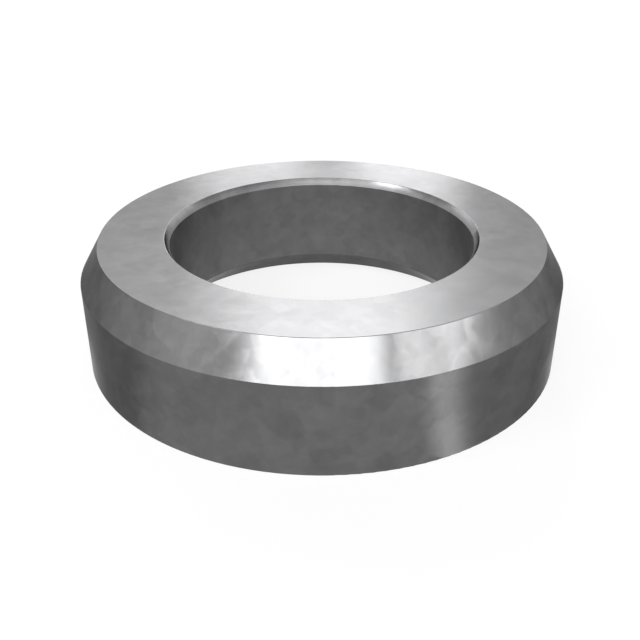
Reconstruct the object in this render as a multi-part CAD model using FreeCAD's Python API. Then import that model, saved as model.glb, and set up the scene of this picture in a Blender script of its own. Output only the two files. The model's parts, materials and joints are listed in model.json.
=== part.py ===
import FreeCAD, Part
import math
import os

# A turned steel spacer ring, in millimetres.
# Its axis is Z, and the origin is the centre of the lower face.

# the ring, 60 across outside
bore_diameter = 38.0
wall = 11.0
height = 15.0

# the long chamfer round the upper face, about 30 degrees from the axis
outer_chamfer_width = 2.4
outer_chamfer_height = 4.1

# the small lead-in at the bore's upper mouth
upper_lead_width = 0.6
upper_lead_height = 0.9

# the wide chamfer at the bore's lower mouth
lower_chamfer_width = 3.5
lower_chamfer_height = 3.1

# the radius that breaks each sharp edge
edge_break = 0.08


def section_corners():
    # the ring's cut face in the XZ plane, from the lower inner corner outwards and round
    bore_radius = bore_diameter / 2
    outer_radius = bore_radius + wall
    corners = [
        (bore_radius + lower_chamfer_width, 0),
        (outer_radius, 0),
        (outer_radius, height - outer_chamfer_height),
        (outer_radius - outer_chamfer_width, height),
        (bore_radius + upper_lead_width, height),
        (bore_radius, height - upper_lead_height),
        (bore_radius, lower_chamfer_height),
    ]
    return [FreeCAD.Vector(radius, 0, level) for radius, level in corners]


def broken_corner(before, corner, after):
    # start, middle and end of the arc that is tangent to both sides of a corner
    to_before = (before - corner).normalize()
    to_after = (after - corner).normalize()
    inward = (to_before + to_after).normalize()
    half_angle = to_before.getAngle(to_after) / 2
    run = edge_break / math.tan(half_angle)
    depth = edge_break / math.sin(half_angle) - edge_break
    return corner + to_before * run, corner + inward * depth, corner + to_after * run


def half_section():
    corners = section_corners()
    befores = corners[-1:] + corners[:-1]
    afters = corners[1:] + corners[:1]
    arcs = [broken_corner(*points) for points in zip(befores, corners, afters)]
    edges = []
    for arc, next_arc in zip(arcs, arcs[1:] + arcs[:1]):
        edges.append(Part.Arc(*arc).toShape())
        edges.append(Part.LineSegment(arc[-1], next_arc[0]).toShape())
    return Part.Face(Part.Wire(edges))


def turned_ring():
    origin = FreeCAD.Vector(0, 0, 0)
    axis = FreeCAD.Vector(0, 0, 1)
    return half_section().revolve(origin, axis, 360)


def main():
    os.makedirs("parts", exist_ok=True)
    turned_ring().exportStep("parts/spacer.step")


main()
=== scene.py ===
import json
import math

import bpy
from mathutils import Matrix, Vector


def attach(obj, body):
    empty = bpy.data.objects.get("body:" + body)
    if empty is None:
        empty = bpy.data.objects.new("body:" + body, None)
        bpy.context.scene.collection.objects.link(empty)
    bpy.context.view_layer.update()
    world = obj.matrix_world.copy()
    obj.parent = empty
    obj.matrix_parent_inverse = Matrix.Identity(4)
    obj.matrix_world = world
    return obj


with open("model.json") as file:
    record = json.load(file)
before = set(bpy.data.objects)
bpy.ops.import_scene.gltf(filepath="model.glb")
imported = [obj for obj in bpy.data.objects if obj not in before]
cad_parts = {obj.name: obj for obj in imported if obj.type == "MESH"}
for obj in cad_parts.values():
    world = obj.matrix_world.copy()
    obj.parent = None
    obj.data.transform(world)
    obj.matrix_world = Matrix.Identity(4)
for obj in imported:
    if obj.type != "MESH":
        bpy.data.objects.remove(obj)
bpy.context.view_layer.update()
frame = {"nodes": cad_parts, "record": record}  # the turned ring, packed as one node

ring = frame["nodes"]["spacer"]
boreRadius = frame["record"]["mounts"][0]["dims"]["r_mm"] / 1000
print("ring loaded, bore radius in metres", boreRadius)


# small helpers for materials, node trees, sheets and directions

def makeMaterial(name):
    material = bpy.data.materials.new(name)
    material.use_nodes = True
    tree = material.node_tree
    return material, tree, tree.nodes["Principled BSDF"]


def addNode(tree, kind, place, **sockets):
    node = tree.nodes.new(kind)
    node.location = place
    for name, value in sockets.items():
        node.inputs[name.replace("_", " ")].default_value = value
    return node


def join(tree, source, output, target, socket):
    tree.links.new(source.outputs[output], target.inputs[socket])


def addOperation(tree, kind, operation, place, values):
    # a None leaves its socket free for a link
    node = addNode(tree, kind, place)
    node.operation = operation
    for index, value in enumerate(values):
        if value is not None:
            node.inputs[index].default_value = value
    return node


def makeNumber(tree, operation, place, *values):
    return addOperation(tree, "ShaderNodeMath", operation, place, values)


def makeVector(tree, operation, place, *values):
    return addOperation(tree, "ShaderNodeVectorMath", operation, place, values)


def makeMix(tree, share, first, second):
    # the first shader shows where the share is 0, the second where it is 1
    mix = addNode(tree, "ShaderNodeMixShader", (200, 0))
    join(tree, share, "Value", mix, "Fac")
    join(tree, first, 0, mix, 1)
    join(tree, second, 0, mix, 2)
    join(tree, mix, "Shader", tree.nodes["Material Output"], "Surface")


def makeSheet(name, length, width, material):
    # a flat rectangle round the origin
    signs = ((-1, -1), (1, -1), (1, 1), (-1, 1))
    mesh = bpy.data.meshes.new(name)
    mesh.from_pydata([(x * length / 2, y * width / 2, 0) for x, y in signs], [], [(0, 1, 2, 3)])
    mesh.materials.append(material)
    sheet = bpy.data.objects.new(name, mesh)
    bpy.context.scene.collection.objects.link(sheet)
    return sheet


def makeLamp(name, wide, tall, glow):
    # at a glow of 1 the lamp is as bright as the white surroundings
    lamp = bpy.data.lights.new(name, "AREA")
    lamp.shape = "RECTANGLE"
    lamp.size, lamp.size_y = wide, tall
    lamp.energy = glow * math.pi * lamp.size * lamp.size_y
    holder = bpy.data.objects.new(name, lamp)
    holder.visible_camera = False
    bpy.context.scene.collection.objects.link(holder)
    return holder


def towards(turn, height=0):
    # turn is seen from above, 0 behind the ring and 90 to its right, and height is up from the floor
    turned, raised = math.radians(turn), math.radians(height)
    level = math.cos(raised)
    return Vector((math.sin(turned) * level, math.cos(turned) * level, math.sin(raised)))


# bare turned steel: a soft metal gloss under faint clouds and small patches that mirror a little apart

steel = {
    "darkTone": (0.116, 0.116, 0.118, 1.0),
    "lightTone": (0.174, 0.174, 0.176, 1.0),
    "middle": 0.5,  # the tone under no cloud, on the way from dark to light
    "edgeTone": (0.42, 0.42, 0.42, 1.0),  # keeps the steel dark where it is seen at a slant
    "cloudScale": 210.0,  # clouds to the metre, each with smaller ones in it
    "cloudDetail": 5.0,
    "cloudBreak": 0.66,
    "cloudTone": 1.2,  # how far the clouds move the tone
    "cloudLow": 0.3,  # the clouds' value where the steel is smoothest, and where it is roughest
    "cloudHigh": 0.7,
    "roughLow": 0.20,
    "roughHigh": 0.24,
    "boreRough": 0.25,  # the bored wall is rougher by this
    "boreEdge": 0.0001,  # that fades between these two distances outside the bored wall
    "boreFade": 0.00045,
    "flatFrom": 0.8,  # how far up or down a surface faces where it starts to count as flat
    "flatTone": 0.5,  # share of the tones and of the lean that the two flat faces keep
    "flatLean": 0.3,
}

# rows of patches: how many to the metre, how soft their borders are, and how they differ in lean and tone
patchRows = {
    "large": {"scale": 330.0, "soft": 0.2, "lean": 0.020, "tone": 0.30},
    "small": {"scale": 800.0, "soft": 0.25, "lean": 0.014, "tone": 0.28},
}
patchWander = {"scale": 700.0, "detail": 2.0, "reach": 0.0006}  # bends the patches' borders


def makeFlatness(tree, facing):
    # 0 on the turned surfaces and 1 on the two flat faces
    parts = addNode(tree, "ShaderNodeSeparateXYZ", (-1500, -900))
    join(tree, facing, "Normal", parts, "Vector")
    upright = makeNumber(tree, "ABSOLUTE", (-1350, -900))
    join(tree, parts, "Z", upright, 0)
    flatness = addNode(tree, "ShaderNodeMapRange", (-1200, -900), From_Min=steel["flatFrom"], From_Max=1.0)
    join(tree, upright, "Value", flatness, "Value")
    return flatness


def makeShare(tree, flatness, least, place):
    # 1 on the turned surfaces, the least on the flat faces
    share = addNode(tree, "ShaderNodeMapRange", place, To_Min=1.0, To_Max=least)
    join(tree, flatness, "Result", share, "Value")
    return share


def makePatches(tree, spot):
    wander = addNode(tree, "ShaderNodeTexNoise", (-1550, -300), Scale=patchWander["scale"],
                     Detail=patchWander["detail"])
    join(tree, spot, "Object", wander, "Vector")
    bend = makeVector(tree, "MULTIPLY_ADD", (-1350, -300), None, (patchWander["reach"],) * 3)
    join(tree, wander, "Color", bend, 0)
    join(tree, spot, "Object", bend, 2)
    made = []
    for index, row in enumerate(patchRows.values()):
        cells = addNode(tree, "ShaderNodeTexVoronoi", (-1100, -200 - 300 * index), Scale=row["scale"])
        cells.feature = "SMOOTH_F1"  # only then does it have a Smoothness
        cells.inputs["Smoothness"].default_value = row["soft"]
        join(tree, bend, "Vector", cells, "Vector")
        made.append(cells)
    return made


def makeTone(tree, clouds, patches, flatness):
    # the clouds' and patches' shares, each centred on 0, are added up and set between the two tones
    swing = steel["cloudTone"]
    total = makeNumber(tree, "MULTIPLY_ADD", (-700, 300), None, swing, -swing / 2)
    join(tree, clouds, "Fac", total, 0)
    for index, (cells, row) in enumerate(zip(patches, patchRows.values())):
        part = makeVector(tree, "DOT_PRODUCT", (-700, 100 - 150 * index), None, (row["tone"], 0.0, 0.0))
        join(tree, cells, "Color", part, 0)
        centred = makeNumber(tree, "SUBTRACT", (-550, 100 - 150 * index), None, row["tone"] / 2)
        join(tree, part, "Value", centred, 0)
        longer = makeNumber(tree, "ADD", (-400, 300 - 150 * index))
        join(tree, total, "Value", longer, 0)
        join(tree, centred, "Value", longer, 1)
        total = longer
    share = makeNumber(tree, "MULTIPLY_ADD", (-250, 300), None, None, steel["middle"])
    join(tree, total, "Value", share, 0)
    join(tree, makeShare(tree, flatness, steel["flatTone"], (-400, 450)), "Result", share, 1)
    tone = addNode(tree, "ShaderNodeMix", (-100, 300))
    tone.data_type = "RGBA"
    toneFrom, toneTo = [socket for socket in tone.inputs if socket.type == "RGBA"]
    toneFrom.default_value, toneTo.default_value = steel["darkTone"], steel["lightTone"]
    join(tree, share, "Value", tone, "Factor")
    return [socket for socket in tone.outputs if socket.type == "RGBA"][0]


def makeRoughness(tree, spot, clouds):
    gloss = addNode(tree, "ShaderNodeMapRange", (-700, 700), From_Min=steel["cloudLow"],
                    From_Max=steel["cloudHigh"], To_Min=steel["roughLow"], To_Max=steel["roughHigh"])
    join(tree, clouds, "Fac", gloss, "Value")
    across = makeVector(tree, "MULTIPLY", (-1100, 600), None, (1.0, 1.0, 0.0))
    join(tree, spot, "Object", across, 0)
    fromAxis = makeVector(tree, "LENGTH", (-900, 600))
    join(tree, across, "Vector", fromAxis, 0)
    inBore = addNode(tree, "ShaderNodeMapRange", (-700, 500), From_Min=boreRadius + steel["boreEdge"],
                     From_Max=boreRadius + steel["boreFade"], To_Min=steel["boreRough"], To_Max=0.0)
    join(tree, fromAxis, "Value", inBore, "Value")
    rough = makeNumber(tree, "ADD", (-450, 600))
    join(tree, gloss, "Result", rough, 0)
    join(tree, inBore, "Result", rough, 1)
    return rough


def makeLean(tree, facing, patches, flatness):
    # every patch tilts the surface a little, at random
    share = makeShare(tree, flatness, steel["flatLean"], (-850, -850))
    tilted = facing.outputs["Normal"]
    for index, (cells, row) in enumerate(zip(patches, patchRows.values())):
        swing, least = (row["lean"],) * 3, (-row["lean"] / 2,) * 3
        lean = makeVector(tree, "MULTIPLY_ADD", (-850, -400 - 200 * index), None, swing, least)
        join(tree, cells, "Color", lean, 0)
        eased = makeVector(tree, "SCALE", (-650, -400 - 200 * index))
        join(tree, lean, "Vector", eased, 0)
        join(tree, share, "Result", eased, "Scale")
        further = makeVector(tree, "ADD", (-450 + 200 * index, -500))
        tree.links.new(tilted, further.inputs[0])
        join(tree, eased, "Vector", further, 1)
        tilted = further.outputs["Vector"]
    unit = makeVector(tree, "NORMALIZE", (0, -500))
    tree.links.new(tilted, unit.inputs[0])
    return unit


def makeSteel():
    material, tree, shader = makeMaterial("turnedSteel")
    shader.location = (200, 0)
    tree.nodes["Material Output"].location = (500, 0)
    shader.inputs["Metallic"].default_value = 1.0
    shader.inputs["Specular Tint"].default_value = steel["edgeTone"]
    spot = addNode(tree, "ShaderNodeTexCoord", (-1800, 0))
    facing = addNode(tree, "ShaderNodeNewGeometry", (-1700, -800))
    clouds = addNode(tree, "ShaderNodeTexNoise", (-1100, 300), Scale=steel["cloudScale"],
                     Detail=steel["cloudDetail"], Roughness=steel["cloudBreak"])
    join(tree, spot, "Object", clouds, "Vector")
    patches = makePatches(tree, spot)
    flatness = makeFlatness(tree, facing)
    tree.links.new(makeTone(tree, clouds, patches, flatness), shader.inputs["Base Color"])
    join(tree, makeRoughness(tree, spot, clouds), "Value", shader, "Roughness")
    join(tree, makeLean(tree, facing, patches, flatness), "Vector", shader, "Normal")
    return material


ring.data.materials.clear()
ring.data.materials.append(makeSteel())
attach(ring, "root")
print("steel made")


# pale floor and white surroundings

studio = {
    "floorSize": 1.2,
    "floorTone": (0.95, 0.95, 0.95, 1.0),
    "floorRough": 0.9,
    "floorGlow": 0.8,  # share of the floor's white that shadows don't touch
    "floorMirrored": 0.92,  # how white the floor is where the steel mirrors it
    "seenWhite": 1.0,
    "fill": 0.05,  # what the surroundings give as light
}


def makeSeen(tree, straight, mirrored):
    # one share where the eye looks straight at it, another in the steel's mirror or through glass
    path = addNode(tree, "ShaderNodeLightPath", (-900, 0))
    eye = makeNumber(tree, "MULTIPLY", (-700, 100), None, straight)
    join(tree, path, "Is Camera Ray", eye, 0)
    either = makeNumber(tree, "MAXIMUM", (-700, -100))
    join(tree, path, "Is Glossy Ray", either, 0)
    join(tree, path, "Is Transmission Ray", either, 1)
    mirror = makeNumber(tree, "MULTIPLY", (-500, -100), None, mirrored)
    join(tree, either, "Value", mirror, 0)
    seen = makeNumber(tree, "MAXIMUM", (-300, 0))
    join(tree, eye, "Value", seen, 0)
    join(tree, mirror, "Value", seen, 1)
    return seen


def makeFloor():
    material, tree, matte = makeMaterial("paleFloor")
    matte.inputs["Base Color"].default_value = studio["floorTone"]
    matte.inputs["Roughness"].default_value = studio["floorRough"]
    matte.inputs["Specular IOR Level"].default_value = 0.0
    glow = addNode(tree, "ShaderNodeEmission", (0, -300))
    join(tree, makeSeen(tree, studio["seenWhite"], studio["floorMirrored"]), "Value", glow, "Strength")
    makeMix(tree, makeSeen(tree, studio["floorGlow"], 1.0), matte, glow)
    makeSheet("floor", studio["floorSize"], studio["floorSize"], material)


def makeSurroundings():
    world = bpy.data.worlds.new("studio")
    bpy.context.scene.world = world
    world.use_nodes = True
    tree = world.node_tree
    background = tree.nodes["Background"]
    background.inputs["Color"].default_value = (1.0, 1.0, 1.0, 1.0)
    level = addNode(tree, "ShaderNodeMapRange", (-200, 0), To_Min=studio["fill"], To_Max=studio["seenWhite"])
    join(tree, makeSeen(tree, 1.0, 1.0), "Value", level, "Value")
    join(tree, level, "Result", background, "Strength")


makeFloor()
makeSurroundings()
print("floor and surroundings made")


# softboxes on stands round the ring, all with their faces to it

# turn and height give the place, wide and tall the size, all in degrees as the ring sees them
softboxes = {
    "front": {"turn": 182, "height": 34, "wide": 52, "tall": 18, "glow": 8.2},
    "frontHigh": {"turn": 180, "height": 56, "wide": 60, "tall": 20, "glow": 0.87},
    "frontLeft": {"turn": -149, "height": 34, "wide": 15, "tall": 24, "glow": 2},
    "right": {"turn": 109.5, "height": 23, "wide": 31, "tall": 6.2, "glow": 8.3},
    "rightFront": {"turn": 137, "height": 24, "wide": 16, "tall": 13.4, "glow": 4.8},
    "left": {"turn": -117, "height": 43, "wide": 21, "tall": 9.6, "glow": 12},
    "leftWide": {"turn": -121, "height": 33, "wide": 48, "tall": 42, "glow": 0.55},
    "farLeft": {"turn": -45, "height": 26, "wide": 20, "tall": 30, "glow": 0.9},
    "back": {"turn": 0.5, "height": 32.5, "wide": 13, "tall": 15.5, "glow": 3.3},
    "backLeft": {"turn": -25, "height": 22, "wide": 64, "tall": 44, "glow": 1.98},
    "backRight": {"turn": 27, "height": 20, "wide": 66, "tall": 40, "glow": 1.64},
    "lowLeft": {"turn": -5.6, "height": 15, "wide": 8, "tall": 10.5, "glow": 6},
    "lowRight": {"turn": 6.9, "height": 10, "wide": 8, "tall": 20, "glow": 8.5},
}
boxDistance = 1.0


def lengthOf(degrees):
    # what fills this angle at the boxes' distance
    return 2 * boxDistance * math.tan(math.radians(degrees / 2))


def makeSoftbox(name, box):
    lamp = makeLamp(name, lengthOf(box["wide"]), lengthOf(box["tall"]), box["glow"])
    toLamp = towards(box["turn"], box["height"])
    lamp.location = toLamp * boxDistance
    lamp.rotation_euler = toLamp.to_track_quat("Z", "Y").to_euler()


for name, box in softboxes.items():
    makeSoftbox(name, box)
print("softboxes made", len(softboxes))


# a light panel and dark cards that lie on the floor beside the ring, seen only as bands in its outer wall

# each fans out from an apex under the ring, with the strength foot near it and full further out, and
# fades to nothing where it is turned by the spread to either side
panel = {"apex": (0.0057, -0.0201), "turn": 128, "spread": 17, "foot": 1.1, "full": 1.1}
cards = {
    "leftCard": {"apex": (-0.0157, -0.0233), "turn": -76, "spread": 27, "foot": 0.17, "full": 0.37},
    "rightCard": {"apex": (0.0093, -0.0242), "turn": 93, "spread": 30, "foot": 0.19, "full": 0.20},
    "leftRimCard": {"apex": (-0.0263, -0.0145), "turn": -24, "spread": 26, "foot": 0.0, "full": 0.56},
    "rightRimCard": {"apex": (0.0257, -0.0152), "turn": 25, "spread": 27, "foot": 0.0, "full": 0.56},
}
growStart, growEnd = 0.006, 0.018  # distances from the apex, where the foot ends and the full begins

# near and far are measured from the apex too
panelSize = {"near": 0.010, "far": 0.034, "wide": 0.022, "lift": 0.0001}
cardSize = {"near": 0.004, "far": 0.060, "wide": 0.050, "lift": 0.0002}
cardStep = 0.0001  # each card lies this much higher than the one before


def makeEase(tree, source, place, start, end, first, last):
    # goes gently from the first value at the start to the last value at the end
    ease = addNode(tree, "ShaderNodeMapRange", place, From_Min=start, From_Max=end, To_Min=first, To_Max=last)
    ease.interpolation_type = "SMOOTHSTEP"
    join(tree, source, "Value", ease, "Value")
    return ease


def makeFan(tree, fan):
    # how strong the fan is at each spot
    spot = addNode(tree, "ShaderNodeNewGeometry", (-1200, 0))
    fromApex = makeVector(tree, "SUBTRACT", (-1000, 0), None, (*fan["apex"], 0.0))
    join(tree, spot, "Position", fromApex, 0)
    parts = addNode(tree, "ShaderNodeSeparateXYZ", (-800, 0))
    join(tree, fromApex, "Vector", parts, "Vector")
    turn = makeNumber(tree, "ARCTAN2", (-600, 0))
    join(tree, parts, "X", turn, 0)
    join(tree, parts, "Y", turn, 1)
    aside = makeNumber(tree, "SUBTRACT", (-450, 0), None, math.radians(fan["turn"]))
    join(tree, turn, "Value", aside, 0)
    away = makeNumber(tree, "ABSOLUTE", (-300, 0))
    join(tree, aside, "Value", away, 0)
    fade = makeEase(tree, away, (-150, 0), 0.0, math.radians(fan["spread"]), 1.0, 0.0)
    reach = makeVector(tree, "LENGTH", (-600, -200))
    join(tree, fromApex, "Vector", reach, 0)
    growth = makeEase(tree, reach, (-300, -200), growStart, growEnd, fan["foot"], fan["full"])
    strength = makeNumber(tree, "MULTIPLY", (0, -100))
    join(tree, fade, "Result", strength, 0)
    join(tree, growth, "Result", strength, 1)
    return strength


def lieOnFloor(sheet, fan, size, lift):
    # its length along the fan's middle line, and upside down, because a lamp shines from its underside
    middle = (size["near"] + size["far"]) / 2
    sheet.location = Vector((*fan["apex"], lift)) + towards(fan["turn"]) * middle
    sheet.rotation_euler = (math.pi, 0, math.pi / 2 - math.radians(fan["turn"]))


def makePanel():
    lamp = makeLamp("panel", panelSize["far"] - panelSize["near"], panelSize["wide"], 1.0)
    lamp.data.use_nodes = True
    tree = lamp.data.node_tree
    join(tree, makeFan(tree, panel), "Value", tree.nodes["Emission"], "Strength")
    lieOnFloor(lamp, panel, panelSize, panelSize["lift"])


def makeCard(name, card, lift):
    material, tree, dark = makeMaterial(name)
    dark.inputs["Base Color"].default_value = (0.0, 0.0, 0.0, 1.0)
    dark.inputs["Specular IOR Level"].default_value = 0.0
    clear = addNode(tree, "ShaderNodeBsdfTransparent", (0, -200))
    makeMix(tree, makeFan(tree, card), clear, dark)
    sheet = makeSheet(name, cardSize["far"] - cardSize["near"], cardSize["wide"], material)
    lieOnFloor(sheet, card, cardSize, lift)
    sheet.visible_camera = False
    sheet.visible_diffuse = False
    sheet.visible_shadow = False
    sheet.visible_transmission = False


makePanel()
for index, (name, card) in enumerate(cards.items()):
    makeCard(name, card, cardSize["lift"] + index * cardStep)
print("floor panel and cards made")


# the camera, at the photograph's place

view = {
    "focus": 843.8,  # focal length in pixels of a picture 640 wide
    "pitch": 28.55,
    "distance": 0.11236,
    "side": -0.00023,
    "aimHeight": 0.00197,
    "clipNear": 0.001,
    "clipFar": 20.0,
}
pictureSide = 640
sensorWidth = 36.0


def makeCamera():
    data = bpy.data.cameras.new("camera")
    data.sensor_width = sensorWidth
    data.lens = view["focus"] * sensorWidth / pictureSide
    data.clip_start, data.clip_end = view["clipNear"], view["clipFar"]
    camera = bpy.data.objects.new("camera", data)
    pitch = math.radians(view["pitch"])
    aim = Vector((view["side"], 0, view["aimHeight"]))
    camera.location = aim + Vector((0, -math.cos(pitch), math.sin(pitch))) * view["distance"]
    camera.rotation_euler = (math.pi / 2 - pitch, 0, 0)
    bpy.context.scene.collection.objects.link(camera)
    bpy.context.scene.camera = camera


makeCamera()
bpy.context.scene.view_settings.view_transform = "Standard"
print("camera placed")
